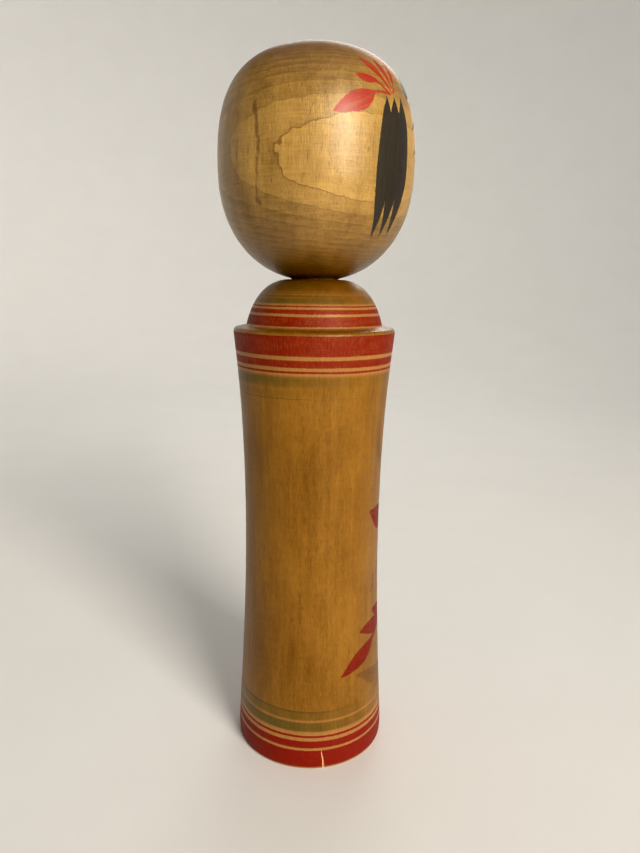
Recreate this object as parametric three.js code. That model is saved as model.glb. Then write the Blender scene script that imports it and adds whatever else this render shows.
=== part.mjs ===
// A kokeshi doll of the stepped-shoulder kind, in two turned pieces of wood.
//
// body: the trunk, with the shoulder dome turned on its top from the same block, and a blind socket
//       in the dome. The socket is narrow at its lip and wider below it.
// head: the head, with a round tenon turned on its underside. The tenon's bulb is pressed past the
//       lip once, at assembly. After that the head turns without limit and can't be pulled out.
//
// Millimetres, +Z up. The origin is the centre of the base. The face looks along -Y.
// Every profile is a list of [radius, height] points that starts and ends on the axis.

import * as THREE from 'three';

const SEGMENTS = 72;               // facets round each turned piece

// Trunk
const BASE_RADIUS = 27.2;
const BASE_CHAMFER = 0.5;
const RIM_RADIUS = 27.9;           // widest part of the trunk, just under the ledge
const RIM_HEIGHT = 153.0;          // where the rim's rounded edge starts
const TRUNK_FOOT_FLARE = 28.6;     // radius of the trunk curve's lower handle
const TRUNK_FOOT_FLARE_HEIGHT = 4.9;
const TRUNK_WAIST_PULL = 19.6;     // radius of the trunk curve's upper handle, which draws in the waist
const TRUNK_WAIST_PULL_HEIGHT = 82.5;

// Ledge and shoulder dome
const LEDGE_OUTER_RADIUS = 26.7;
const LEDGE_OUTER_HEIGHT = 154.5;
const DOME_RADIUS = 23.5;
const DOME_FOOT_HEIGHT = 155.2;
const DOME_TOP_HEIGHT = 170.55;
const DOME_SHOULDER_PULL = 20.1;   // radius of the dome curve's lower handle
const DOME_SHOULDER_PULL_HEIGHT = 169.0;
const DOME_CROWN_PULL = 12.5;      // radius of the dome curve's upper handle

// Socket in the dome
const LIP_RADIUS = 8.25;
const LIP_THICKNESS = 5.0;
const CHAMBER_RADIUS = 9.1;
const CHAMBER_FLOOR_HEIGHT = 153.0;
const MOUTH_CHAMFER = 0.3;

// Head
const HEAD_RADIUS = 32.3;
const HEAD_MIDDLE_HEIGHT = 206.0;  // height of the head's widest place
const HEAD_RISE = 36.0;            // from the widest place to the crown
const HEAD_DROP = 35.9;            // from the widest place to the lower pole, which the tenon hides
const CROWN_FULLNESS = 2.76;       // 2 is an ellipse, and more is squarer
const JAW_FULLNESS = 2.2;

// Tenon under the head
const NECK_RADIUS = 8.0;
const BULB_RADIUS = 8.7;
const BULB_SHOULDER_HEIGHT = 163.6;
const BULB_EDGE_ROUNDING = 3.0;
const TENON_END_HEIGHT = 154.0;

// Points along a cubic Bezier curve, without the first one.
function bezierPoints(start, handleA, handleB, end, steps) {
  const [a, b, c, d] = [start, handleA, handleB, end].map(([r, h]) => new THREE.Vector2(r, h));
  const curve = new THREE.CubicBezierCurve(a, b, c, d);
  return curve.getPoints(steps).slice(1).map((p) => [p.x, p.y]);
}

// Points on a quarter of an ellipse between two points, without the first one. The tangent at the
// start is along the height, or along the radius if fromSide is false.
function quarterRound(start, end, steps, fromSide = true) {
  const points = [];
  for (let i = 1; i <= steps; i += 1) {
    const angle = (i / steps) * (Math.PI / 2);
    const [along, across] = [Math.sin(angle), 1 - Math.cos(angle)];
    const [radiusPart, heightPart] = fromSide ? [across, along] : [along, across];
    points.push([
      start[0] + (end[0] - start[0]) * radiusPart,
      start[1] + (end[1] - start[1]) * heightPart,
    ]);
  }
  return points;
}

// A point on half of the head's outline. The angle runs from the widest place, 0, to the pole, 90 degrees.
function headPoint(angle, reach, fullness) {
  const power = 2 / fullness;
  return [
    HEAD_RADIUS * Math.max(0, Math.cos(angle)) ** power,
    HEAD_MIDDLE_HEIGHT + reach * Math.sin(angle) ** power,
  ];
}

function bodyProfile() {
  const sideSteps = 12;
  const domeSteps = 9;
  const lipHeight = DOME_TOP_HEIGHT - LIP_THICKNESS;
  const mouthRadius = LIP_RADIUS + MOUTH_CHAMFER;
  const footOfSide = [BASE_RADIUS, BASE_CHAMFER];
  const rim = [RIM_RADIUS, RIM_HEIGHT];
  const ledgeEdge = [LEDGE_OUTER_RADIUS, LEDGE_OUTER_HEIGHT];
  const domeFoot = [DOME_RADIUS, DOME_FOOT_HEIGHT];
  return [
    [0, 0],
    [BASE_RADIUS - BASE_CHAMFER, 0],
    footOfSide,
    ...bezierPoints(
      footOfSide,
      [TRUNK_FOOT_FLARE, TRUNK_FOOT_FLARE_HEIGHT],
      [TRUNK_WAIST_PULL, TRUNK_WAIST_PULL_HEIGHT],
      rim,
      sideSteps,
    ),
    ...quarterRound(rim, ledgeEdge, 3),
    domeFoot,
    ...bezierPoints(
      domeFoot,
      [DOME_SHOULDER_PULL, DOME_SHOULDER_PULL_HEIGHT],
      [DOME_CROWN_PULL, DOME_TOP_HEIGHT],
      [mouthRadius, DOME_TOP_HEIGHT],
      domeSteps,
    ),
    [LIP_RADIUS, DOME_TOP_HEIGHT - MOUTH_CHAMFER],
    [LIP_RADIUS, lipHeight],
    [CHAMBER_RADIUS, lipHeight - (CHAMBER_RADIUS - LIP_RADIUS)],
    [CHAMBER_RADIUS, CHAMBER_FLOOR_HEIGHT],
    [0, CHAMBER_FLOOR_HEIGHT],
  ];
}

function headProfile() {
  const jawSteps = 11;
  const crownSteps = 14;
  // The jaw's curve starts at the angle where its radius is the neck's.
  const neckAngle = Math.acos((NECK_RADIUS / HEAD_RADIUS) ** (JAW_FULLNESS / 2));
  const jaw = [];
  for (let i = 0; i <= jawSteps; i += 1) {
    jaw.push(headPoint(neckAngle * (1 - i / jawSteps), -HEAD_DROP, JAW_FULLNESS));
  }
  const crown = [];
  for (let i = 1; i <= crownSteps; i += 1) {
    crown.push(headPoint((Math.PI / 2) * (i / crownSteps), HEAD_RISE, CROWN_FULLNESS));
  }
  crown.at(-1)[0] = 0;
  const tenonEnd = [BULB_RADIUS - BULB_EDGE_ROUNDING, TENON_END_HEIGHT];
  return [
    [0, TENON_END_HEIGHT],
    tenonEnd,
    ...quarterRound(tenonEnd, [BULB_RADIUS, TENON_END_HEIGHT + BULB_EDGE_ROUNDING], 3, false),
    [BULB_RADIUS, BULB_SHOULDER_HEIGHT],
    [NECK_RADIUS, BULB_SHOULDER_HEIGHT + (BULB_RADIUS - NECK_RADIUS)],
    ...jaw,
    ...crown,
  ];
}

// Turns a profile about the Z axis.
function turned(name, profile, color, roughness) {
  const geometry = new THREE.LatheGeometry(profile.map(([r, h]) => new THREE.Vector2(r, h)), SEGMENTS);
  geometry.rotateX(Math.PI / 2);
  const material = new THREE.MeshStandardMaterial({ color, roughness, metalness: 0 });
  const mesh = new THREE.Mesh(geometry, material);
  mesh.name = name;
  return mesh;
}

const kokeshi = new THREE.Group();
kokeshi.add(turned('body', bodyProfile(), 0xb98545, 0.42));
kokeshi.add(turned('head', headProfile(), 0xc9a05a, 0.32));

export default kokeshi;
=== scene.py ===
# Looks for the kokeshi doll. Each of the two turned pieces is rebuilt as a fine turned mesh on the
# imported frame's own outline, and gets upright wood grain, lathe lines, brushwork and a worn wax finish.
# Shapes and paint are worked out in millimetres and degrees. Angle 0 is the face's side, -Y, and
# angles grow anticlockwise as seen from above, so +90 is +X.

import math

import bmesh
import bpy
import numpy as np
from mathutils import Matrix, Vector


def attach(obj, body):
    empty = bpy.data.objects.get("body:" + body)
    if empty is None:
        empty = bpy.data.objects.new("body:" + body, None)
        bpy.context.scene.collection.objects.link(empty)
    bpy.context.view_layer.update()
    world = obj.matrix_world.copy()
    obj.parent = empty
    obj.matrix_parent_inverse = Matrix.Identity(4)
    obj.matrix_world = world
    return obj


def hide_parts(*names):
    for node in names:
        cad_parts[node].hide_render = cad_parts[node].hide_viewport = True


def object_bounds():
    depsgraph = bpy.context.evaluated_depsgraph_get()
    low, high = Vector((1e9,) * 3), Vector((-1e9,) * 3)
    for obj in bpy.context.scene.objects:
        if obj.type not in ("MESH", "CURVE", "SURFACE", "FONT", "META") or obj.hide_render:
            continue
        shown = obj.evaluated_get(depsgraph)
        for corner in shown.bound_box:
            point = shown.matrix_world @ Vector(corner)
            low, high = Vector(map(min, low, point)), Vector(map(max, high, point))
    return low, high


MM = 0.001
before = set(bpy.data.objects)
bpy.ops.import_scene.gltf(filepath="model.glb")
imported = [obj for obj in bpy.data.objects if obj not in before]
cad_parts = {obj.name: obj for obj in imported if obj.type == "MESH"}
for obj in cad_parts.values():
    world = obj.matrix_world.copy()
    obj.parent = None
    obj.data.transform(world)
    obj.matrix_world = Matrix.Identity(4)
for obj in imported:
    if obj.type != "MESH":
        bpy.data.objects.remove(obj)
cad_box = [list(corner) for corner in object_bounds()]
DOLL_HEIGHT = cad_box[1][2] / MM


# ---------------------------------------------------------------- outlines and turned meshes

CORNER_DEGREES = 40        # a sharper turn than this is a real edge
LENGTH_STEP = 3.5          # a longer jump in point spacing than this starts another curve
EDGE_WEAR = 0.22           # mm taken off each real edge


def cad_outline(node):
    """[radius, height] points of a turned CAD piece, from its lower pole to its upper one."""
    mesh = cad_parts[node].data
    keys = []
    for vertex in mesh.vertices:
        x, y, z = vertex.co / MM
        in_plane = abs(x) < 0.001 and y < 0.001
        keys.append((round(abs(y), 3), round(z, 3)) if in_plane else None)
    links = {}
    for edge in mesh.edges:
        a, b = keys[edge.vertices[0]], keys[edge.vertices[1]]
        if a and b and a != b:
            links.setdefault(a, set()).add(b)
            links.setdefault(b, set()).add(a)
    path = [min((key for key in links if key[0] == 0), key=lambda key: key[1])]
    while len(path) < len(links):
        ahead = [key for key in links[path[-1]] if key not in path]
        if not ahead:
            break
        path.append(ahead[0])
    return np.array(path)


def spline(points, count):
    """count + 1 points on the natural cubic through the given ones, any number of columns."""
    points = np.asarray(points, float)
    number = len(points)
    if number == 2:
        steps = np.linspace(0, 1, count + 1)[:, None]
        return points[0] * (1 - steps) + points[1] * steps
    knots = np.r_[0, np.cumsum(np.linalg.norm(np.diff(points[:, :2], axis=0), axis=1))]
    gaps = np.diff(knots)[:, None]
    slopes = np.diff(points, axis=0) / gaps
    matrix = np.eye(number)
    right = np.zeros_like(points)
    for i in range(1, number - 1):
        matrix[i, i - 1:i + 2] = gaps[i - 1, 0], 2 * (gaps[i - 1, 0] + gaps[i, 0]), gaps[i, 0]
        right[i] = 6 * (slopes[i] - slopes[i - 1])
    bend = np.linalg.solve(matrix, right)
    at = np.linspace(0, knots[-1], count + 1)
    i = np.clip(np.searchsorted(knots, at, side="right") - 1, 0, number - 2)
    u = (at - knots[i])[:, None]
    v = gaps[i] - u
    curve = (bend[i] * v ** 3 + bend[i + 1] * u ** 3) / (6 * gaps[i])
    curve += (points[i] / gaps[i] - bend[i] * gaps[i] / 6) * v
    curve += (points[i + 1] / gaps[i] - bend[i + 1] * gaps[i] / 6) * u
    return curve


def fine_outline(points, spacing):
    """The outline with its round stretches smoothed, its real edges worn, and a point about every
    spacing(radius, height) mm."""
    ahead = np.diff(points, axis=0)
    heading = np.degrees(np.arctan2(ahead[:, 1], ahead[:, 0]))
    turn = np.abs((np.diff(heading) + 180) % 360 - 180)
    size = np.linalg.norm(ahead, axis=1)
    step = np.maximum(size[1:] / size[:-1], size[:-1] / size[1:])
    edges = [0, *(np.where((turn > CORNER_DEGREES) | (step > LENGTH_STEP))[0] + 1), len(points) - 1]
    fine = []
    for start, end in zip(edges[:-1], edges[1:]):
        dense = spline(points[start:end + 1], 60 * (end - start))
        length = np.r_[0, np.cumsum(np.linalg.norm(np.diff(dense, axis=0), axis=1))]
        wear = min(EDGE_WEAR, length[-1] / 3)
        gaps = np.array([spacing(*point) for point in dense])
        count = np.r_[0, np.cumsum(np.diff(length) / gaps[1:])]
        inside = np.interp(np.linspace(0, count[-1], 2 + int(count[-1])), count, length)[1:-1]
        inside = inside[(inside > wear * 1.5) & (inside < length[-1] - wear * 1.5)]
        at = np.r_[0, wear, inside, length[-1] - wear, length[-1]]
        run = np.c_[np.interp(at, length, dense[:, 0]), np.interp(at, length, dense[:, 1])]
        fine.extend(run if start == 0 else run[1:])
        if end != edges[-1]:
            fine[-1] = fine[-1].copy()
            fine[-1][:] = np.nan
    fine = np.array(fine)
    for i in np.where(np.isnan(fine[:, 0]))[0]:
        fine[i] = (fine[i - 1] + fine[i + 1]) / 2
    fine[[0, -1], 0] = 0
    return fine


def columns(*stretches):
    """Angles all the way round, from (from, to, step) stretches in degrees."""
    angles = []
    for start, end, step in stretches:
        count = max(1, round((end - start) / step))
        angles.extend(start + (end - start) * np.arange(count) / count)
    return np.radians(angles)


def turned_points(rings, angles):
    """Vertex positions in mm for the rings between the two poles, ring by ring."""
    radius, height = rings[1:-1, 0], rings[1:-1, 1]
    x = radius[:, None] * np.sin(angles)
    y = -radius[:, None] * np.cos(angles)
    z = np.repeat(height[:, None], len(angles), axis=1)
    return np.stack([x, y, z], axis=-1)


def turned_object(name, rings, grid):
    """A closed mesh from the grid of ring positions, with a pole at each end."""
    ring_count, column_count = grid.shape[:2]
    low_pole, high_pole = [0, 0, rings[0, 1]], [0, 0, rings[-1, 1]]
    verts = np.vstack([grid.reshape(-1, 3), low_pole, high_pole]) * MM
    row = np.arange(ring_count - 1)[:, None] * column_count
    here = np.arange(column_count)
    after = (here + 1) % column_count
    above = row + column_count
    quads = np.stack([row + here, row + after, above + after, above + here], -1)
    low, high = len(verts) - 2, len(verts) - 1
    last = (ring_count - 1) * column_count
    faces = quads.reshape(-1, 4).tolist()
    faces += [[low, int(b), int(a)] for a, b in zip(here, after)]
    faces += [[high, int(last + a), int(last + b)] for a, b in zip(here, after)]
    mesh = bpy.data.meshes.new(name)
    mesh.from_pydata(verts.tolist(), [], faces)
    mesh.shade_smooth()
    mesh.validate()
    made = bpy.data.objects.new(name, mesh)
    bpy.context.scene.collection.objects.link(made)
    return made


def lathe_chatter(rings, amount, lowest, highest):
    """A faint unevenness that the turning tool leaves, the same all round, between two heights."""
    height = rings[:, 1]
    wave = np.sin(height / 0.83) + 0.8 * np.sin(height / 1.37 + 1) + np.sin(height / 3.1 + 2)
    fade = np.clip((height - lowest) / 3, 0, 1) * np.clip((highest - height) / 3, 0, 1)
    rings[1:-1, 0] += (amount * wave * fade)[1:-1]
    return rings


# ---------------------------------------------------------------- brushwork

STROKE_STEPS = 48
FAR = 6.0                  # mm, the distance kept where no stroke is near


class Brushwork:
    """Distances from every vertex to the edges of the painted strokes, by colour. A stroke is a list
    of (angle, height, half width) points, and a pair is one stroke and its mirror image. Below zero,
    a half width only makes a soft-edged stroke fainter."""

    def __init__(self, positions, outline):
        self.positions = positions
        self.outline = outline[np.argsort(outline[:, 1])]
        self.edges = {}
        self.along = np.zeros((len(positions), 3))
        self.count = 0

    def place(self, angle, height):
        radius = np.interp(height, self.outline[:, 1], self.outline[:, 0])
        angle = np.radians(angle)
        return np.stack([radius * np.sin(angle), -radius * np.cos(angle), height], -1)

    def pair(self, colour, points):
        """The same stroke on both sides of the middle."""
        self.stroke(colour, points, (1, -1))

    def stroke(self, colour, points, sides=(1,)):
        edge = self.edges.setdefault(colour, np.full(len(self.positions), FAR))
        for side in sides:
            curve = spline(points, STROKE_STEPS)
            centres = self.place(curve[:, 0] * side, curve[:, 1])
            widths = curve[:, 2]
            middle = centres.mean(axis=0)
            reach = np.linalg.norm(centres - middle, axis=1).max() + widths.max() + FAR
            near = np.where(np.linalg.norm(self.positions - middle, axis=1) < reach)[0]
            apart = np.linalg.norm(self.positions[near, None] - centres, axis=2)
            signed = apart - widths
            nearest = signed.argmin(axis=1)
            distance = signed[np.arange(len(near)), nearest]
            closer = distance < edge[near]
            chosen, which = near[closer], nearest[closer]
            edge[chosen] = distance[closer]
            tangent = np.gradient(centres, axis=0)[which]
            outward = centres[which] * [1, 1, 0]
            offset = self.positions[chosen] - centres[which]
            across = np.cross(outward, tangent)
            across /= np.linalg.norm(across, axis=1)[:, None]
            self.along[chosen, 0] = (offset * across).sum(axis=1)
            self.along[chosen, 1] = which / STROKE_STEPS
            self.along[chosen, 2] = self.count
            self.count += 1

    def write(self, mesh):
        for colour, edge in self.edges.items():
            layer = mesh.attributes.new(f"{colour}_edge", "FLOAT", "POINT")
            layer.data.foreach_set("value", edge.astype(np.float32))
        layer = mesh.attributes.new("brush", "FLOAT_VECTOR", "POINT")
        layer.data.foreach_set("vector", self.along.astype(np.float32).ravel())


def paint_head(brush):
    # Side locks: three strokes side by side, pointed at both ends.
    brush.pair("ink", [
        (-64.6, 223.6, 0.0), (-65.0, 221.6, 0.6), (-65.6, 218.7, 1.5), (-67.2, 211, 2.3),
        (-68.2, 201, 2.6), (-67.6, 193, 2.0), (-66.7, 187.0, 0.9), (-65.9, 181.6, 0.0),
    ])
    brush.pair("ink", [
        (-58.3, 224.2, 0.0), (-58.5, 222, 0.65), (-59.0, 218.9, 1.8), (-59.6, 211, 2.6),
        (-59.9, 201, 2.8), (-59.8, 193, 2.0), (-59.2, 187.3, 0.9), (-58.1, 182.3, 0.0),
    ])
    brush.pair("ink", [
        (-51.1, 224.8, 0.0), (-51.3, 222.4, 0.65), (-51.6, 219.2, 1.85), (-51.5, 211, 2.7),
        (-51.4, 201, 2.7), (-51.8, 193, 1.9), (-51.4, 187.5, 0.85), (-50.4, 182.8, 0.0),
    ])
    # Hair ornament: leaf-shaped strokes whose stems meet above each lock.
    brush.pair("red", [
        (-98.4, 216.8, 0.0), (-93.5, 218.1, 1.4), (-88, 219.6, 2.5), (-82.6, 220.8, 2.9),
        (-78.2, 222.0, 1.9), (-74.4, 223.3, 0.65), (-69, 224.0, 0.34), (-62, 223.9, 0.26),
    ])
    brush.pair("red", [
        (-85.4, 228.2, 0.0), (-81.6, 227.6, 0.75), (-77.8, 227.2, 1.3), (-74.2, 227.1, 1.0),
        (-70.6, 226.9, 0.45), (-66, 225.5, 0.32), (-61.2, 224.0, 0.24),
    ])
    brush.pair("red", [
        (-79.0, 233.9, 0.0), (-75.4, 232.4, 0.8), (-71.4, 231.1, 1.3), (-67.8, 229.6, 0.9),
        (-64.4, 227.6, 0.5), (-61.8, 226.0, 0.32), (-59.6, 224.4, 0.24),
    ])
    brush.pair("red", [
        (-67.2, 234.9, 0.0), (-64.4, 232.7, 0.6), (-61.5, 230.2, 0.8), (-59.6, 227.7, 0.35),
        (-58.2, 224.9, 0.18),
    ])
    brush.pair("red", [
        (-54.2, 235.6, 0.0), (-54.6, 233.0, 0.6), (-55.2, 230.3, 0.75), (-56.4, 227.4, 0.3),
        (-57.2, 224.9, 0.18),
    ])
    # Forelock: a fan of strokes with a combed lower edge, and red strokes over the crown behind it.
    for tip in (-41, -32, -23.5, -15.5, -7.5, 0, 7.5, 15.5, 23.5, 32, 41):
        low = 222.0 + 2.6 * (abs(tip) / 41) ** 1.5
        brush.stroke("ink", [
            (tip * 1.02, low, 0.05), (tip * 0.96, low + 2.6, 1.7), (tip * 0.85, low + 6.3, 2.2),
            (tip * 0.72, 234.0, 1.6), (tip * 0.6, 237.0, 0.5),
        ])
    for lean in (-52, -26, 0, 26, 52):
        brush.stroke("red", [
            (lean * 0.3, 239.0, 0.3), (lean * 0.75, 240.3, 1.1), (lean * 1.5, 241.35, 0.1),
        ])
    # Brows, lids, pupils, nose and mouth.
    brush.pair("ink", [
        (-38.4, 216.1, 0.05), (-31, 218.5, 0.75), (-20, 219.8, 0.6), (-9, 218.3, 0.05),
    ])
    brush.pair("ink", [
        (-36.1, 209.0, 0.15), (-29, 210.9, 0.5), (-20, 211.5, 0.55), (-10.5, 209.4, 0.1),
    ])
    brush.pair("ink", [
        (-34.6, 208.6, 0.05), (-26, 207.5, 0.25), (-18, 207.5, 0.25), (-12, 208.4, 0.05),
    ])
    brush.pair("ink", [(-21.8, 209.7, 1.15), (-20.8, 209.5, 1.2)])
    brush.stroke("ink", [
        (-3.2, 203.0, 0.05), (-1.8, 202.0, 0.3), (0, 201.7, 0.25), (1.8, 202.0, 0.3),
        (3.2, 203.0, 0.05),
    ])
    brush.stroke("ink", [
        (-4.4, 196.6, 0.05), (-1.6, 196.1, 0.28), (0, 196.3, 0.2), (1.6, 196.1, 0.28),
        (4.4, 196.6, 0.05),
    ])
    brush.stroke("red", [(-2.6, 195.2, 0.1), (0, 194.9, 0.55), (2.6, 195.2, 0.1)])
    # A mineral streak in the wood at the back, darkest at its ends, and a few short marks.
    brush.stroke("stain", [
        (-141.6, 220.0, 0.45), (-140.6, 218.3, 0.6), (-139.6, 215.4, 0.45), (-138.9, 212, 0.5),
        (-138.0, 209.4, 0.5), (-138.6, 205, 0.25), (-139.5, 200.8, 0.1), (-140.5, 195.8, 0.05),
        (-140.8, 193.4, 0.35), (-139.8, 192.5, 0.55),
    ])
    brush.stroke("stain", [(-134.6, 229.8, -0.2), (-137.4, 227.2, -0.1), (-139, 224.4, -0.15)])
    brush.stroke("stain", [(-153.0, 211.4, -0.2), (-153.8, 206, -0.05), (-154.2, 200.2, -0.2)])
    brush.stroke("stain", [(-144.9, 212.4, -0.2), (-145.0, 206, -0.05), (-145.4, 200.0, -0.2)])
    specks = ((-78.5, 207.3), (-94.3, 192.4), (-89.2, 191.3), (-112.6, 199.4), (-86.0, 184.6))
    for angle, height in specks:
        brush.stroke("stain", [(angle, height + 0.5, -0.1), (angle - 0.3, height - 0.4, -0.1)])


def paint_body(brush):
    # Lower blossom: petals that fountain out from its centre, the lowest ones longest.
    brush.pair("red", [
        (-82.4, 33.6, 0.0), (-75, 35.6, 1.4), (-66, 37.9, 2.7), (-58, 39.6, 3.0), (-51, 41.3, 2.1),
        (-44, 43.3, 0.9), (-34, 45.0, 0.4), (-14, 46.6, 0.2),
    ])
    brush.pair("red", [
        (-63.8, 48.4, 0.05), (-54, 48.4, 1.7), (-44, 47.8, 2.9), (-34, 47.6, 2.6), (-23, 47.7, 1.0),
        (-9, 47.4, 0.2),
    ])
    brush.pair("red", [
        (-45, 54.3, 0.0), (-38, 53.0, 1.6), (-29, 51.6, 2.3), (-19, 50.0, 1.3), (-7, 47.8, 0.2),
    ])
    brush.pair("red", [
        (-27, 61.6, 0.0), (-22, 58.6, 1.7), (-15.5, 54.7, 2.2), (-9, 51.0, 1.0), (-4, 48.3, 0.2),
    ])
    brush.stroke("red", [
        (0, 66.0, 0.0), (0.3, 61.5, 2.0), (0, 56.5, 2.3), (0, 52.0, 0.9), (0, 48.6, 0.2),
    ])
    # Upper blossom.
    brush.pair("red", [
        (-52.6, 92.4, 0.0), (-46, 91.0, 1.45), (-39, 89.5, 3.0), (-31, 87.9, 4.4), (-20, 85.2, 2.2),
        (-6, 83.2, 0.2),
    ])
    brush.pair("red", [
        (-27, 101.6, 0.05), (-24, 98.4, 1.7), (-18, 93.4, 2.5), (-11, 88.0, 1.2), (-5, 84.6, 0.2),
    ])
    brush.pair("red", [
        (-16, 105.6, 0.0), (-13, 101.3, 1.8), (-8.6, 95.5, 2.2), (-4.5, 89.8, 0.9), (-2, 85.6, 0.2),
    ])
    brush.stroke("red", [
        (0, 107.6, 0.0), (0, 102.8, 1.6), (0, 97.2, 1.9), (0, 91.4, 0.8), (0, 86.4, 0.2),
    ])
    brush.pair("red", [
        (-30, 76.6, 0.0), (-23, 78.4, 1.2), (-15, 80.6, 1.7), (-7, 82.2, 0.6), (-3, 82.8, 0.2),
    ])
    # Bud over the upper blossom.
    brush.pair("red", [
        (-10, 122.6, 0.0), (-7.6, 119.3, 1.2), (-4.2, 115.6, 1.2), (-1.6, 112.6, 0.3),
    ])
    brush.stroke("red", [(0, 124.4, 0.0), (0, 120.4, 1.2), (0, 116.4, 1.3), (0, 112.8, 0.3)])
    # Leaves and stem.
    brush.pair("leaf", [
        (-67, 32.6, 0.2), (-56, 31.0, 1.6), (-45, 28.6, 3.0), (-33, 27.8, 2.6), (-18, 30.0, 1.2),
        (-3, 34.0, 0.4),
    ])
    brush.pair("leaf", [
        (-43, 22.6, 0.1), (-34, 23.8, 1.2), (-24, 26.6, 1.4), (-13, 30.4, 0.6), (-3, 33.0, 0.3),
    ])
    brush.pair("leaf", [(-43.1, 65.1, 0.5), (-41.6, 67.0, 0.75)])
    brush.pair("leaf", [
        (-36.4, 66.6, 0.2), (-31, 68.4, 1.0), (-19, 70.6, 1.1), (-7, 72.6, 0.5), (-1, 73.4, 0.3),
    ])
    brush.pair("leaf", [(-46.6, 61.8, 0.55), (-44.2, 62.9, 0.75), (-41.6, 63.4, 0.5)])
    brush.pair("leaf", [(-35.5, 64.0, 0.3), (-30, 65.9, 0.9), (-21, 68.4, 0.8), (-9, 71.6, 0.4)])
    brush.pair("leaf", [
        (-42.6, 121.6, 0.3), (-41.8, 117.0, 0.9), (-38.4, 111.6, 1.6), (-27, 108.8, 1.3),
        (-12, 108.9, 0.7), (-2, 110.4, 0.4),
    ])
    brush.stroke("leaf", [(0, 27.0, 0.5), (0.8, 32, 0.6), (0.5, 40, 0.5), (0, 46, 0.4)])
    brush.stroke("leaf", [(0, 67.6, 0.4), (0.8, 72, 0.5), (0.4, 77, 0.5), (0, 82.6, 0.4)])
    brush.stroke("leaf", [(0, 108.6, 0.3), (0.4, 110.6, 0.5), (0, 112.6, 0.5)])
    # Fine ink veins and stamens.
    veins = ((0, 47.6, 50.6), (-7, 47.0, 49.6), (7, 47.0, 49.6),
             (0, 83.4, 86.6), (-6, 82.8, 85.4), (6, 82.8, 85.4))
    for angle, low, high in veins:
        brush.stroke("ink", [(angle * 0.5, low, 0.15), (angle, high, 0.3)])
    # Marks in the wood on the side and back.
    brush.stroke("stain", [(-115.6, 68.4, -0.3), (-114.9, 64.0, -0.1), (-115.1, 60.0, -0.2)])
    brush.stroke("stain", [(-115.0, 61.0, -0.1), (-115.2, 56.5, 0.05), (-116.4, 50.0, -0.25)])
    brush.stroke("stain", [(-121.4, 56.6, 0.1), (-122.6, 55.9, 0.2)])
    brush.stroke("stain", [(-95.9, 54.2, -0.1), (-97.0, 53.0, -0.1)])
    brush.stroke("stain", [(-134.4, 28.6, -0.1), (-134.8, 25.6, -0.1)])


# ---------------------------------------------------------------- node helper

def srgb(red, green, blue):
    """A colour from ordinary screen values, 0 to 255."""
    return (*[((value / 255 + 0.055) / 1.055) ** 2.4 for value in (red, green, blue)], 1.0)


def grey(value):
    return (value, value, value, 1)


class Tree:
    """Short names for building one material."""

    def __init__(self, name):
        self.material = bpy.data.materials.new(name)
        self.material.use_nodes = True
        self.nodes = self.material.node_tree.nodes
        self.links = self.material.node_tree.links
        self.nodes.clear()

    def put(self, socket, value):
        if isinstance(value, bpy.types.NodeSocket):
            self.links.new(value, socket)
        elif value is not None:
            socket.default_value = value

    def node(self, kind, settings=None, inputs=None):
        made = self.nodes.new("ShaderNode" + kind)
        for name, value in (settings or {}).items():
            setattr(made, name, value)
        for name, value in (inputs or {}).items():
            self.put(made.inputs[name], value)
        return made

    def math(self, operation, *values, clamp=False):
        made = self.node("Math", {"operation": operation, "use_clamp": clamp})
        for socket, value in zip(made.inputs, values):
            self.put(socket, value)
        return made.outputs[0]

    def vector(self, operation, first, second=None):
        made = self.node("VectorMath", {"operation": operation}, {0: first})
        self.put(made.inputs[1], second)
        return made.outputs["Value" if operation in ("LENGTH", "DOT_PRODUCT") else "Vector"]

    def product(self, first, second):
        return self.math("MULTIPLY", first, second)

    def fit_sum(self, value, factor, start, clamp=False):
        """value * factor + start."""
        return self.math("MULTIPLY_ADD", value, factor, start, clamp=clamp)

    def channels(self, colour):
        return list(self.node("SeparateColor", None, {0: colour}).outputs)

    def noise(self, position, stretch, detail=2.0, roughness=0.5):
        """Noise around 0.5 whose grains are about stretch mm long along each axis."""
        scaled = self.vector("MULTIPLY", position, tuple(1 / length for length in stretch))
        inputs = {"Vector": scaled, "Scale": 1.0, "Detail": detail, "Roughness": roughness}
        return self.node("TexNoise", None, inputs).outputs["Fac"]

    def smooth(self, value, low, high, to_low=0.0, to_high=1.0):
        """A soft step from to_low to to_high as the value goes from low to high."""
        inputs = {"Value": value, "From Min": low, "From Max": high,
                  "To Min": to_low, "To Max": to_high}
        return self.node("MapRange", {"interpolation_type": "SMOOTHSTEP"}, inputs).outputs["Result"]

    def mix(self, factor, first, second, blend="MIX"):
        made = self.node("Mix", {"data_type": "RGBA", "blend_type": blend})
        self.put(made.inputs[0], factor)
        self.put(made.inputs[6], first)
        self.put(made.inputs[7], second)
        return made.outputs[2]

    def ramp(self, factor, stops):
        """A colour ramp. stops are (position, colour)."""
        made = self.node("ValToRGB", None, {"Fac": factor})
        points = made.color_ramp.elements
        while len(points) < len(stops):
            points.new(1.0)
        for point, (position, colour) in zip(points, stops):
            point.position = position
            point.color = colour
        return made.outputs["Color"]

    def scaled_sum(self, *pairs):
        """The sum of (noise - 0.5) * amount over the pairs."""
        total = None
        for value, amount in pairs:
            part = self.product(self.math("SUBTRACT", value, 0.5), amount)
            total = part if total is None else self.math("ADD", total, part)
        return total


# ---------------------------------------------------------------- wood, dye and wax

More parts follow.
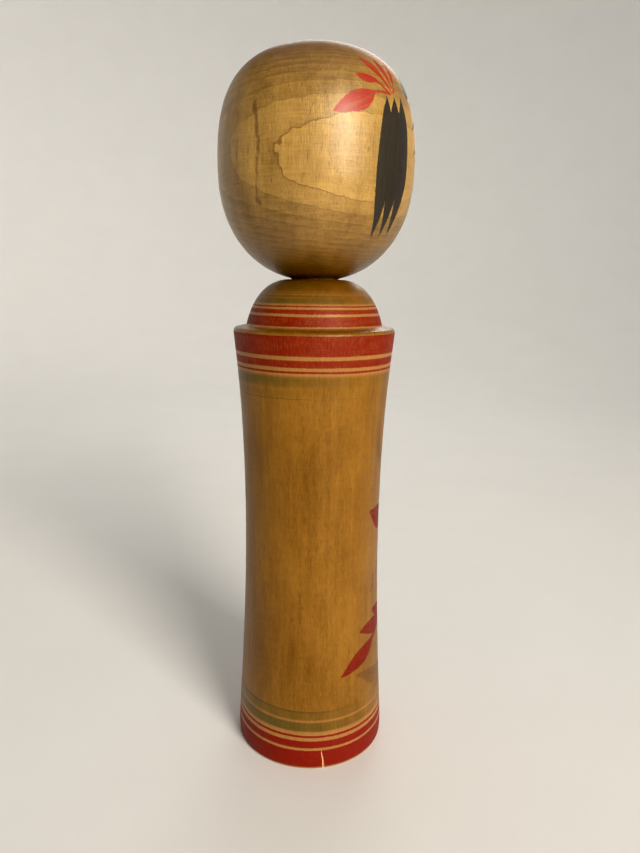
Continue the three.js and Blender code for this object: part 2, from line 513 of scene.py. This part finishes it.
END_GRAIN_GRIME_AND_SHADE_TINT = srgb(196, 174, 120)   # end grain takes up more wax and grime; on the head's downward-facing lower side this darkening is also painted shade
SIDE_GRAIN_LINE = [(0.0, grey(0)), (0.88, grey(0.06)), (0.95, grey(0.2)), (0.972, grey(1)),
                   (0.99, grey(0.8)), (1.0, grey(0))]
END_GRAIN_LINE = [(0.0, grey(0.1)), (0.4, grey(0)), (0.8, grey(0.2)), (0.93, grey(0.5)),
                  (1.0, grey(0.15))]


def growth_rings(tree, position, parts, look):
    """The rings round a leaning, off-centre pith: the place within a ring from 0 to 1, how far out
    it lies, and how strongly the ring's dark line shows."""
    rise = tree.math("SUBTRACT", parts[2], look["mid_height"])
    pith_x = tree.fit_sum(rise, look["lean"][0], look["pith"][0])
    pith_y = tree.fit_sum(rise, look["lean"][1], look["pith"][1])
    off_x = tree.math("SUBTRACT", parts[0], pith_x)
    off_y = tree.math("SUBTRACT", parts[1], pith_y)
    across = tree.node("CombineXYZ", None, {"X": off_x, "Y": off_y}).outputs[0]
    radius = tree.vector("LENGTH", across)
    wobble = tree.scaled_sum(
        (tree.noise(position, (14, 14, 16), 1), 0.40 * look["wobble"]),
        (tree.noise(position, (3.6, 3.6, 3.6), 1), 0.3 * look["wobble"]),
        (tree.noise(position, (1.1, 1.1, 1.1), 1), 0.05 * look["wobble"]),
    )
    ring = tree.math("DIVIDE", tree.math("ADD", radius, wobble), look["ring_gap"])
    phase = tree.math("FRACT", tree.math("ADD", ring, look["ring_start"]))
    facing = tree.node("SeparateXYZ", None, {0: tree.node("TexCoord").outputs["Normal"]}).outputs["Z"]
    end_grain = tree.smooth(tree.math("ABSOLUTE", facing), 0.2, 0.95)
    line = tree.mix(end_grain, tree.ramp(phase, SIDE_GRAIN_LINE), tree.ramp(phase, END_GRAIN_LINE))
    outer = tree.smooth(radius, *look["clear_rings"])
    line = tree.product(line, tree.fit_sum(outer, 0.75, 0.25))
    outward = tree.vector("NORMALIZE", tree.vector("MULTIPLY", position, (1, 1, 0)))
    side = tree.vector("DOT_PRODUCT", outward, look["clear_side"])
    line = tree.product(line, tree.smooth(side, 0.7, 0.95, 0.3, 1.0))
    return phase, outer, end_grain, line


def wood(tree, position, parts, look):
    """Pale wood with upright fibres. look holds the pith's place at mid height and its lean, the ring
    spacing, and the tones. Returns the colour, the relief and the fibre noise."""
    phase, outer, end_grain, line = growth_rings(tree, position, parts, look)
    patina = tree.noise(position, (26, 26, 40), 2)
    cloud = tree.noise(position, (5, 5, 14), 3, 0.6)
    streak = tree.noise(position, (1.3, 1.3, 24), 2, 0.55)
    fibre = tree.noise(position, (0.3, 0.3, 2.6), 2, 0.6)
    fleck = tree.smooth(tree.noise(position, (0.38, 0.38, 2.2), 1, 0.5), 0.58, 0.74)
    turning = tree.noise(position, (5, 5, 0.3), 2, 0.6)
    lathe = tree.noise(position, (10, 10, 0.7), 3, 0.65)
    # The outer-ring term is painted light and shade: on the head it lightens the outermost rings round
    # the equator on the camera's side, and darkens the crown, the underside and the back.
    tone = tree.scaled_sum(
        (patina, 1.1), (cloud, 0.8), (streak, look["streak"]), (fibre, look["fibre"]),
        (turning, 0.4), (lathe, look["lathe"]), (phase, look["ring_tone"]),
        (outer, look["outer_ring_light_and_shade"]),
    )
    colour = tree.mix(tree.math("ADD", tone, 0.5, clamp=True), look["dark"], look["light"])
    # Darker where the surface faces up or down: end grain with more wax and grime, and painted shade on
    # the head's downward-facing lower side.
    grimed_and_shaded_ends = tree.product(end_grain, look["end_grain"])
    colour = tree.mix(grimed_and_shaded_ends, colour, END_GRAIN_GRIME_AND_SHADE_TINT, "MULTIPLY")
    colour = tree.mix(tree.product(line, look["line_strength"]), colour, look["line"])
    colour = tree.mix(tree.product(fleck, look["fleck_strength"]), colour, look["line"])
    relief = tree.scaled_sum((fibre, 1.0), (turning, look["turning"]), (streak, 0.5), (cloud, 3.0))
    relief = tree.math("SUBTRACT", relief, tree.product(fleck, 0.3))
    return colour, relief, fibre


def brushed(tree, position, colour_name, feather):
    """How much of a brushed colour lies at each place, 0 to 1, with dye creeping along the fibres."""
    edge = tree.node("Attribute", {"attribute_name": f"{colour_name}_edge"}).outputs["Fac"]
    creep = tree.scaled_sum((tree.noise(position, (0.3, 0.3, 1.1), 2), 0.34),
                            (tree.noise(position, (1.3, 1.3, 1.7), 1), 0.3 * feather))
    return tree.smooth(tree.math("ADD", edge, creep), 0.15 * feather, -0.06 * feather)


def bristles(tree):
    """Streaks that run along each stroke."""
    place = tree.node("Attribute", {"attribute_name": "brush"}).outputs["Vector"]
    fine = tree.noise(place, (0.28, 0.9, 0.13), 2)
    broad = tree.noise(place, (1.0, 0.45, 0.13), 1)
    return fine, broad


def lathe_lines(tree, height, low, high, lines):
    """Dye densities against height from a list of (from, to, red, olive, dark, softness) in mm."""
    span = high - low
    clear = (0, 0, 0, 1)
    stops = [(0.0, clear)]
    for line_start, line_end, *dye, softness in lines:
        full = (*dye, 1)
        for at, colour in ((line_start - softness, clear), (line_start + softness, full),
                           (line_end - softness, full), (line_end + softness, clear)):
            at = (at - low) / span
            if at > stops[-1][0]:
                stops.append((at, colour))
            else:
                stops[-1] = (stops[-1][0], tuple(max(pair) for pair in zip(stops[-1][1], colour)))
    place = tree.math("DIVIDE", tree.math("SUBTRACT", height, low), span, clamp=True)
    return tree.ramp(place, stops)


def dyed(tree, colour, density, dye, body_colour, opacity):
    """Dye that stains the wood, with some body of its own."""
    stained = tree.mix(density, colour, dye, "MULTIPLY")
    return tree.mix(tree.product(density, opacity), stained, body_colour)


def uneven(tree, position, grain, fibre, average):
    """Roughness around an average, with slow worn patches and fine fibres."""
    patches = tree.noise(position, grain, 3)
    return tree.math("ADD", tree.scaled_sum((patches, 0.16), (fibre, 0.12)), average)


def waxed(tree, colour, roughness, height, relief, glow, gloss, wax, wax_roughness):
    """The finish: satin wood under a thin wax coat, with relief mm of fine unevenness."""
    bump_inputs = {"Strength": 0.8, "Distance": relief * MM, "Height": height}
    bump = tree.node("Bump", None, bump_inputs)
    inputs = {"Base Color": colour, "Roughness": roughness, "Normal": bump.outputs[0],
              "Specular IOR Level": gloss, "Specular Tint": glow,
              "Coat Weight": wax, "Coat Roughness": wax_roughness, "Coat IOR": 1.45}
    shader = tree.node("BsdfPrincipled", None, inputs)
    output = tree.node("OutputMaterial")
    tree.links.new(shader.outputs[0], output.inputs["Surface"])
    return tree.material


def object_mm(tree):
    """Position in mm and its three parts."""
    position = tree.vector("MULTIPLY", tree.node("TexCoord").outputs["Object"], (1 / MM,) * 3)
    split = tree.node("SeparateXYZ", None, {0: position})
    return position, list(split.outputs)


HEAD_WAX = srgb(255, 240, 204)         # the old wax reflects a little warmer than the light
BODY_WAX = srgb(255, 234, 194)
RED_DYE = srgb(204, 70, 2)
HEAD_RED = srgb(178, 6, 0)             # the colour of thick red dye
TRUNK_RED = srgb(122, 0, 0)
WORN_RED = srgb(92, 14, 0)             # where grime has settled in it
OLIVE_DYE = srgb(188, 198, 148)
THICK_OLIVE = srgb(88, 90, 48)
LEAF_DYE = srgb(196, 176, 130)
THICK_LEAF = srgb(100, 62, 10)
DARK_LINE = srgb(76, 56, 22)
INK = srgb(24, 18, 14)
STAIN = srgb(78, 40, 12)
BARE_WOOD = srgb(232, 190, 138)        # fresh wood in the crack
PALE_WOOD = srgb(196, 142, 92)         # between the lines, where the dye's binder kept the wood clean

# The head's outer-ring tone below is painted light and shade: a lighter equator on the camera's side, a
# darker crown, underside and back.
HEAD_WOOD = {
    "mid_height": 206.0, "pith": (2.08, 0.75), "lean": (-0.039, -0.014), "ring_gap": 1.15,
    "ring_start": 0.81, "wobble": 1.0, "clear_rings": (31.5, 33.6), "clear_side": (-0.951, 0.309, 0.0),
    "dark": srgb(118, 86, 32), "light": srgb(188, 149, 79), "line": srgb(96, 60, 20),
    "line_strength": 0.66, "fleck_strength": 0.3, "turning": 0.8, "lathe": 0.6, "streak": 0.3,
    "end_grain": 0.95, "fibre": 0.65, "ring_tone": -0.24, "outer_ring_light_and_shade": 0.4,
}
BODY_WOOD = {
    "mid_height": 80.0, "pith": (-1.6, -2.2), "lean": (0.006, 0.01), "ring_gap": 1.5,
    "ring_start": 0.35, "wobble": 1.6, "clear_rings": (24.0, 29.0), "clear_side": (-1.0, 0.0, 0.0),
    "dark": srgb(106, 68, 10), "light": srgb(150, 106, 38), "line": srgb(96, 54, 8),
    "line_strength": 0.1, "fleck_strength": 0.36, "turning": 0.3, "lathe": 0.2, "streak": 0.6,
    "end_grain": 0.6, "fibre": 0.95, "ring_tone": 0.0, "outer_ring_light_and_shade": 0.0,
}


def head_material():
    tree = Tree("head_wood_waxed")
    position, parts = object_mm(tree)
    colour, height, fibre = wood(tree, position, parts, HEAD_WOOD)
    stain = tree.product(brushed(tree, position, "stain", 4.0), 0.6)
    colour = tree.mix(stain, colour, STAIN)
    fine, broad = bristles(tree)
    streaks = tree.scaled_sum((fine, 0.7), (broad, 0.9), (fibre, 0.3))
    red = brushed(tree, position, "red", 1.0)
    density = tree.product(red, tree.math("ADD", streaks, 0.82, clamp=True))
    colour = dyed(tree, colour, density, RED_DYE, HEAD_RED, 0.62)
    ink = brushed(tree, position, "ink", 0.7)
    ink_density = tree.product(ink, tree.fit_sum(streaks, 0.2, 1.0, clamp=True))
    colour = tree.mix(ink_density, colour, INK)
    roughness = uneven(tree, position, (9, 9, 9), fibre, 0.44)
    roughness = tree.fit_sum(tree.math("MAXIMUM", ink, red), 0.2, roughness)
    return waxed(tree, colour, roughness, height, 0.12, HEAD_WAX, 0.55, 0.6, 0.34)


# Lathe lines in mm: from, to, red, olive, dark, softness.
CRISP, SOFT = 0.08, 0.3
BASE_LINES = [
    (0.95, 7.4, 1, 0, 0, CRISP), (8.4, 11.05, 1, 0, 0, CRISP), (12.45, 13.2, 1, 0, 0, CRISP),
    (14.75, 18.0, 0, 1, 0.1, 0.2), (19.1, 21.9, 0, 0.5, 0, 0.4), (22.1, 22.4, 0, 0.6, 0.9, 0.06),
]
RIM_LINES = [
    (133.0, 133.3, 0, 0.3, 0.7, 0.06), (133.8, 135.6, 0, 0.3, 0, SOFT),
    (137.1, 140.2, 0, 0.9, 0.1, 0.6), (141.4, 142.1, 1, 0, 0, CRISP),
    (143.25, 145.6, 1, 0, 0, CRISP), (146.85, 153.25, 1, 0, 0, CRISP),
]
DOME_LINES = [
    (155.75, 158.85, 1, 0, 0, CRISP), (159.7, 161.05, 1, 0, 0, CRISP),
    (161.8, 162.25, 1, 0, 0, CRISP), (163.0, 164.45, 0, 1, 0.1, 0.12),
    (165.0, 165.5, 0, 0.8, 0.1, 0.08), (165.95, 166.3, 0, 0.7, 0.1, 0.06),
    # The last entry tints the whole top of the dome, under the head, olive and darker.
    (166.9, 171.5, 0, 0.5, 0.25, 0.25),
]
# Where the wood has stayed pale: from, to, paleness, two unused places, softness.
SHELTERED = [
    (-1.0, 14.6, 1, 0, 0, 0.2), (18.1, 19.0, 0.8, 0, 0, 0.15), (140.4, 153.3, 1, 0, 0, 0.15),
    (155.2, 162.9, 1, 0, 0, 0.15), (164.5, 164.85, 0.45, 0, 0, 0.06),
    (165.6, 165.85, 0.35, 0, 0, 0.06), (166.45, 166.7, 0.25, 0, 0, 0.06),
]
MIDDLE_OF_LEDGE = 154.2
LINE_ZONES = [(0, 30, BASE_LINES), (125, MIDDLE_OF_LEDGE, RIM_LINES), (MIDDLE_OF_LEDGE, 171, DOME_LINES)]
OLIVE_STRONG_SIDE = (-0.35, 0.94, 0.0)    # the olive is strongest towards this side


def line_dyes(tree, position, height):
    """The densities of the red, olive and dark lines. The brush is held by hand against the spinning
    wood, so the lines wander a little and feather along the fibres."""
    wander = tree.scaled_sum((tree.noise(position, (22, 22, 3), 1), 0.35),
                             (tree.noise(position, (0.24, 0.24, 0.9), 1), 0.4),
                             (tree.noise(position, (1.5, 1.5, 1), 1), 0.16))
    line_height = tree.math("ADD", height, wander)
    densities = None
    for low, high, lines in LINE_ZONES:
        part = lathe_lines(tree, line_height, low, high, lines)
        densities = part if densities is None else tree.mix(1.0, densities, part, "ADD")
    return tree.channels(densities)


def olive_strength(tree, position, height):
    """How strong the olive is: most towards one side of the doll, less under the rim."""
    level = tree.vector("MULTIPLY", position, (0.04, 0.04, 0))
    facing = tree.vector("DOT_PRODUCT", level, OLIVE_STRONG_SIDE)
    under_rim = tree.product(tree.smooth(height, 100, 130),
                             tree.smooth(height, MIDDLE_OF_LEDGE, MIDDLE_OF_LEDGE - 0.2))
    facing = tree.fit_sum(under_rim, -0.35, facing)
    patches = tree.scaled_sum((tree.noise(position, (14, 14, 9), 2), 0.9))
    return tree.smooth(tree.math("ADD", facing, patches), -0.1, 1.0, 0.14, 1.0)


def trunk_red(tree, position, height, colour, red):
    """Red dye on the trunk: thick and deep near the base, thin and grimy near the rim."""
    body_share = tree.product(red, tree.fit_sum(height, -0.0044, 0.76))
    colour = tree.mix(red, colour, RED_DYE, "MULTIPLY")
    colour = tree.mix(body_share, colour, TRUNK_RED)
    grime = tree.scaled_sum((tree.noise(position, (0.4, 0.4, 3.2), 2), 1.6),
                            (tree.noise(position, (9, 9, 0.3), 2), 1.0))
    grime = tree.product(tree.smooth(grime, 0.0, 0.5), tree.smooth(height, 20.0, 140.0, 0.15, 0.5))
    return tree.mix(tree.product(red, grime), colour, WORN_RED)


def body_material():
    tree = Tree("body_wood_waxed")
    position, parts = object_mm(tree)
    height = parts[2]
    colour, relief, fibre = wood(tree, position, parts, BODY_WOOD)
    sheltered = tree.channels(lathe_lines(tree, height, -2, 174, SHELTERED))[0]
    colour = tree.mix(tree.product(sheltered, 0.38), colour, PALE_WOOD)
    red_lines, olive_lines, dark_lines = line_dyes(tree, position, height)[:3]
    fine, broad = bristles(tree)
    streaks = tree.scaled_sum((fine, 0.6), (broad, 0.7), (fibre, 0.3))
    mottle = tree.scaled_sum((tree.noise(position, (0.35, 0.35, 2.2), 2), 1.2),
                             (tree.noise(position, (5, 5, 2), 2), 0.6),
                             (tree.noise(position, (9, 9, 0.35), 2), 0.5))
    fullness = tree.fit_sum(height, -0.0005, 1.02)
    red_lines = tree.product(red_lines, tree.fit_sum(mottle, 0.55, fullness, clamp=True))
    red_strokes = tree.product(brushed(tree, position, "red", 1.0),
                               tree.math("ADD", streaks, 0.9, clamp=True))
    red = tree.math("MAXIMUM", red_lines, red_strokes)
    olive_share = olive_strength(tree, position, height)
    worn = tree.math("ADD", mottle, 0.85, clamp=True)
    olive = tree.product(tree.product(olive_lines, olive_share), worn)
    leaf = tree.product(brushed(tree, position, "leaf", 2.5),
                        tree.math("ADD", streaks, 0.66, clamp=True))
    leaf = tree.product(leaf, worn)
    stain = tree.product(brushed(tree, position, "stain", 4.0), 0.6)
    colour = tree.mix(stain, colour, STAIN)
    colour = dyed(tree, colour, olive, OLIVE_DYE, THICK_OLIVE, 0.45)
    colour = dyed(tree, colour, leaf, LEAF_DYE, THICK_LEAF, 0.7)
    colour = tree.mix(tree.product(dark_lines, tree.product(olive_share, 0.8)), colour, DARK_LINE)
    colour = trunk_red(tree, position, height, colour, red)
    ink = brushed(tree, position, "ink", 0.7)
    colour = tree.mix(tree.product(ink, 0.85), colour, INK)
    crack = tree.node("Attribute", {"attribute_name": "crack"}).outputs["Fac"]
    colour = tree.mix(tree.smooth(crack, 0.05, 0.25), colour, BARE_WOOD)
    roughness = uneven(tree, position, (11, 11, 16), fibre, 0.37)
    roughness = tree.fit_sum(red, 0.2, roughness)
    ledge = tree.product(tree.smooth(height, 153.0, 153.4), tree.smooth(height, 155.8, 155.2))
    roughness = tree.fit_sum(ledge, -0.11, roughness)
    relief = tree.math("ADD", relief, tree.product(red, 0.5))
    return waxed(tree, colour, roughness, relief, 0.09, BODY_WAX, 0.36, 0.03, 0.3)


# ---------------------------------------------------------------- the two pieces

CRACK_ANGLE = -95.3        # degrees, at the base
CRACK_LEAN = 0.3           # degrees per mm of height
CRACK_HEIGHT = 7.2
CRACK_REACH = 8.0          # mm along the underside
CRACK_HALF_WIDTH = 0.48
CRACK_DEPTH = 0.9
CRACK_FLOOR = 0.65         # where the deepest line lies: -1 is the left edge, 1 the right one


def open_crack(grid):
    """A drying crack: a groove up from the base edge, widest there, that also runs a little way in
    on the underside. Returns how deep each vertex lies in it, 0 to 1."""
    radius = np.hypot(grid[..., 0], grid[..., 1])
    height = grid[..., 2]
    edge_radius = radius[height < 1].max()
    under = (height < 0.01) & (radius > edge_radius - CRACK_REACH)
    side = (radius > edge_radius - 1) & (height < CRACK_HEIGHT)
    open_share = np.where(under, 1 - (edge_radius - radius) / CRACK_REACH, 1 - height / CRACK_HEIGHT)
    open_share = np.where(under | side, open_share, 0).clip(0, 1)
    angle = np.degrees(np.arctan2(grid[..., 0], -grid[..., 1]))
    bend = 0.05 * np.sin(height * 1.3) + 0.03 * np.sin(height * 4.1)
    sideways = np.radians(angle - CRACK_ANGLE + CRACK_LEAN * height) * radius + bend
    half_width = CRACK_HALF_WIDTH * open_share ** 0.7 + 1e-6
    across = sideways / half_width
    left_slope = (across + 1) / (CRACK_FLOOR + 1)
    right_slope = (1 - across) / (1 - CRACK_FLOOR)
    depth = np.where(across < CRACK_FLOOR, left_slope, right_slope)
    depth = np.where(open_share > 0, depth, 0).clip(0, 1)
    cut = CRACK_DEPTH * open_share ** 0.5 * depth
    at_edge = height < 0.6
    inward = np.where(at_edge, 0.7, 1.0)
    grid[..., 0] *= 1 - cut * inward / radius
    grid[..., 1] *= 1 - cut * inward / radius
    grid[..., 2] += np.where(at_edge, 0.7 * cut, 0)
    return depth


HEAD_FOOT = 172.0          # the tenon lies below this


def body_spacing(radius, height):
    """Ring spacing in mm: fine where there is painting or a tight curve."""
    if height < 0.01 or (radius < 10 and height > 140):
        return 2.2
    if height > 152 or height < 9:
        return 0.6
    return 0.8 if 20 < height < 126 else 1.35


def head_spacing(radius, height):
    if radius < 9 and height < HEAD_FOOT:
        return 1.6
    return 0.52 if height > 180 else 1.0


def with_poles(grid):
    """All positions in vertex order. The two poles are never painted, so they stay at the origin."""
    return np.vstack([grid.reshape(-1, 3), np.zeros((2, 3))])


def make_body():
    outline = cad_outline("body")
    rings = fine_outline(outline, body_spacing)
    top = rings[rings[:, 0].argmax(), 1]
    rings = lathe_chatter(rings, 0.012, 3, top - 3)
    angles = columns((-180, -98.8, 1.8), (-98.8, -94.0, 0.13), (-94.0, -84, 1.2),
                     (-84, 84, 0.8), (84, 180, 1.8))
    grid = turned_points(rings, angles)
    positions = with_poles(grid)
    side = rings[(rings[:, 0] > 20) & (rings[:, 1] < top)]
    depth = open_crack(grid)
    made = turned_object("body_turned", rings, grid)
    brush = Brushwork(positions, side)
    paint_body(brush)
    brush.write(made.data)
    layer = made.data.attributes.new("crack", "FLOAT", "POINT")
    layer.data.foreach_set("value", np.r_[depth.ravel(), 0, 0].astype(np.float32))
    made.data.materials.append(body_material())
    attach(made, "body")
    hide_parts("body")


def make_head():
    outline = cad_outline("head")
    rings = fine_outline(outline, head_spacing)
    rings = lathe_chatter(rings, 0.010, 176, 236)
    angles = columns((-180, -160, 1.7), (-160, -128, 0.9), (-128, -101, 1.5), (-101, -42, 0.62),
                     (-42, 42, 0.5), (42, 101, 0.62), (101, 180, 1.7))
    grid = turned_points(rings, angles)
    made = turned_object("head_turned", rings, grid)
    brush = Brushwork(with_poles(grid), rings[rings[:, 1] > HEAD_FOOT])
    paint_head(brush)
    brush.write(made.data)
    made.data.materials.append(head_material())
    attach(made, "head")
    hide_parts("head")


# ---------------------------------------------------------------- camera, floor and light

# The photograph's camera, fitted to the doll's outline: its direction, distance, height, shift to
# the right, downward tilt and roll.
CAMERA_AZIMUTH = math.radians(-107)
CAMERA_DISTANCE = 0.9644 * DOLL_HEIGHT * MM
EYE_HEIGHT = 0.6985 * DOLL_HEIGHT * MM
AXIS_OFFSET = 0.0105 * CAMERA_DISTANCE
PITCH = math.radians(12.08)
ROLL = math.radians(0.79)
SENSOR_WIDTH = 36          # mm, as is the lens
LENS = 28.08
TO_CAMERA = Vector((math.sin(CAMERA_AZIMUTH), -math.cos(CAMERA_AZIMUTH), 0))
CAMERA_RIGHT = Vector((math.cos(CAMERA_AZIMUTH), math.sin(CAMERA_AZIMUTH), 0))
UP = Vector((0, 0, 1))


def make_camera():
    data = bpy.data.cameras.new("camera")
    data.sensor_width = SENSOR_WIDTH
    data.lens = LENS
    data.clip_start = 0.01
    camera = bpy.data.objects.new("camera", data)
    bpy.context.scene.collection.objects.link(camera)
    ahead = -TO_CAMERA * math.cos(PITCH) - UP * math.sin(PITCH)
    above = -TO_CAMERA * math.sin(PITCH) + UP * math.cos(PITCH)
    right = CAMERA_RIGHT * math.cos(ROLL) + above * math.sin(ROLL)
    above = above * math.cos(ROLL) - CAMERA_RIGHT * math.sin(ROLL)
    place = TO_CAMERA * CAMERA_DISTANCE + CAMERA_RIGHT * AXIS_OFFSET + UP * EYE_HEIGHT
    turn = Matrix((right, above, -ahead)).transposed().to_4x4()
    camera.matrix_world = Matrix.Translation(place) @ turn
    bpy.context.scene.camera = camera


def make_stage():
    """A pale round floor that sweeps up into a wall all round, open at the top. All in mm."""
    floor_radius, wall_radius, wall_height, bend = 800, 1700, 1900, 900
    bend_steps = 36
    profile = [[0, 0], [200, 0], [floor_radius, 0]]
    for step in range(1, bend_steps + 1):
        angle = math.radians(90) * step / bend_steps
        profile.append([floor_radius + bend * math.sin(angle), bend * (1 - math.cos(angle))])
    profile += [[wall_radius, wall_height], [0, wall_height + 1]]
    rings = np.array(profile, float)
    stage = turned_object("stage", rings, turned_points(rings, columns((-180, 180, 2))))
    keep_below(stage, wall_height * MM)
    tree = Tree("pale_floor")
    position, _ = object_mm(tree)
    shade = tree.scaled_sum((tree.noise(position, (60, 60, 60), 3), 0.35),
                            (tree.noise(position, (1.5, 1.5, 1.5), 2), 0.2))
    shade = tree.math("ADD", shade, 0.5, clamp=True)
    colour = tree.mix(shade, srgb(224, 222, 218), srgb(238, 236, 232))
    shader = tree.node("BsdfPrincipled", None, {"Base Color": colour, "Roughness": 0.8})
    output = tree.node("OutputMaterial")
    tree.links.new(shader.outputs[0], output.inputs["Surface"])
    stage.data.materials.append(tree.material)


def keep_below(made, height):
    """Takes off the lid, which is every face above the height, and turns the rest to face inward."""
    work = bmesh.new()
    work.from_mesh(made.data)
    lid = [face for face in work.faces if face.calc_center_median().z > height]
    bmesh.ops.delete(work, geom=lid, context="FACES")
    bmesh.ops.reverse_faces(work, faces=work.faces[:])
    work.to_mesh(made.data)
    work.free()


def around_doll(turn_degrees, elevation_degrees, distance):
    """A place seen from the doll's middle. The turn is to the right of the camera's direction."""
    turn = math.radians(turn_degrees)
    elevation = math.radians(elevation_degrees)
    level = TO_CAMERA * math.cos(turn) + CAMERA_RIGHT * math.sin(turn)
    direction = level * math.cos(elevation) + UP * math.sin(elevation)
    return UP * DOLL_HEIGHT * MM * 0.6 + direction * distance


def make_light(name, place, target, size, power, colour, spread_degrees=180):
    """A soft panel at one place, aimed at another."""
    data = bpy.data.lights.new(name, "AREA")
    data.shape = "RECTANGLE"
    data.size, data.size_y = size
    data.energy = power
    data.spread = math.radians(spread_degrees)
    data.color = colour
    light = bpy.data.objects.new(name, data)
    bpy.context.scene.collection.objects.link(light)
    light.location = place
    light.rotation_mode = "QUATERNION"
    light.rotation_quaternion = (place - target).to_track_quat("Z", "Y")


BLACK_LEVEL = 0.007        # linear light that is shown as black, as an ordinary camera does
CONTRAST_GAMMA = 0.88


def make_lights():
    doll = around_doll(0, 0, 0)
    warm, neutral = (1.0, 0.95, 0.87), (1.0, 0.99, 0.97)
    make_light("window", around_doll(32, 21, 1.45), doll, (0.6, 0.76), 6.4, warm, 80)
    make_light("ceiling", around_doll(0, 89, 1.6), doll, (1.8, 1.8), 4.0, neutral)
    for name, turn, elevation, wall_turn, size, power in (
            ("backdrop_right", 150, 45, 160, (1.0, 0.4), 2.8),
            ("backdrop_left", -130, 45, -140, (1.0, 0.4), 3.4),
            ("backdrop_front", 40, 50, 0, (1.4, 0.4), 1.3)):
        wall = around_doll(wall_turn, 5, 1.6)
        make_light(name, around_doll(turn, elevation, 1.2), wall, size, power, neutral)
    make_light("far_side", around_doll(172, 30, 1.45), doll, (0.8, 0.8), 1.1, neutral, 80)
    world = bpy.data.worlds.new("room")
    world.use_nodes = True
    background = world.node_tree.nodes["Background"]
    background.inputs["Color"].default_value = srgb(236, 236, 238)
    background.inputs["Strength"].default_value = 0.05
    bpy.context.scene.world = world


def set_tones():
    """The camera's own contrast."""
    view = bpy.context.scene.view_settings
    view.view_transform = "Standard"
    view.gamma = CONTRAST_GAMMA
    view.use_curve_mapping = True
    view.curve_mapping.black_level = (BLACK_LEVEL,) * 3
    view.curve_mapping.update()


make_camera()
make_stage()
make_lights()
set_tones()
make_body()
make_head()
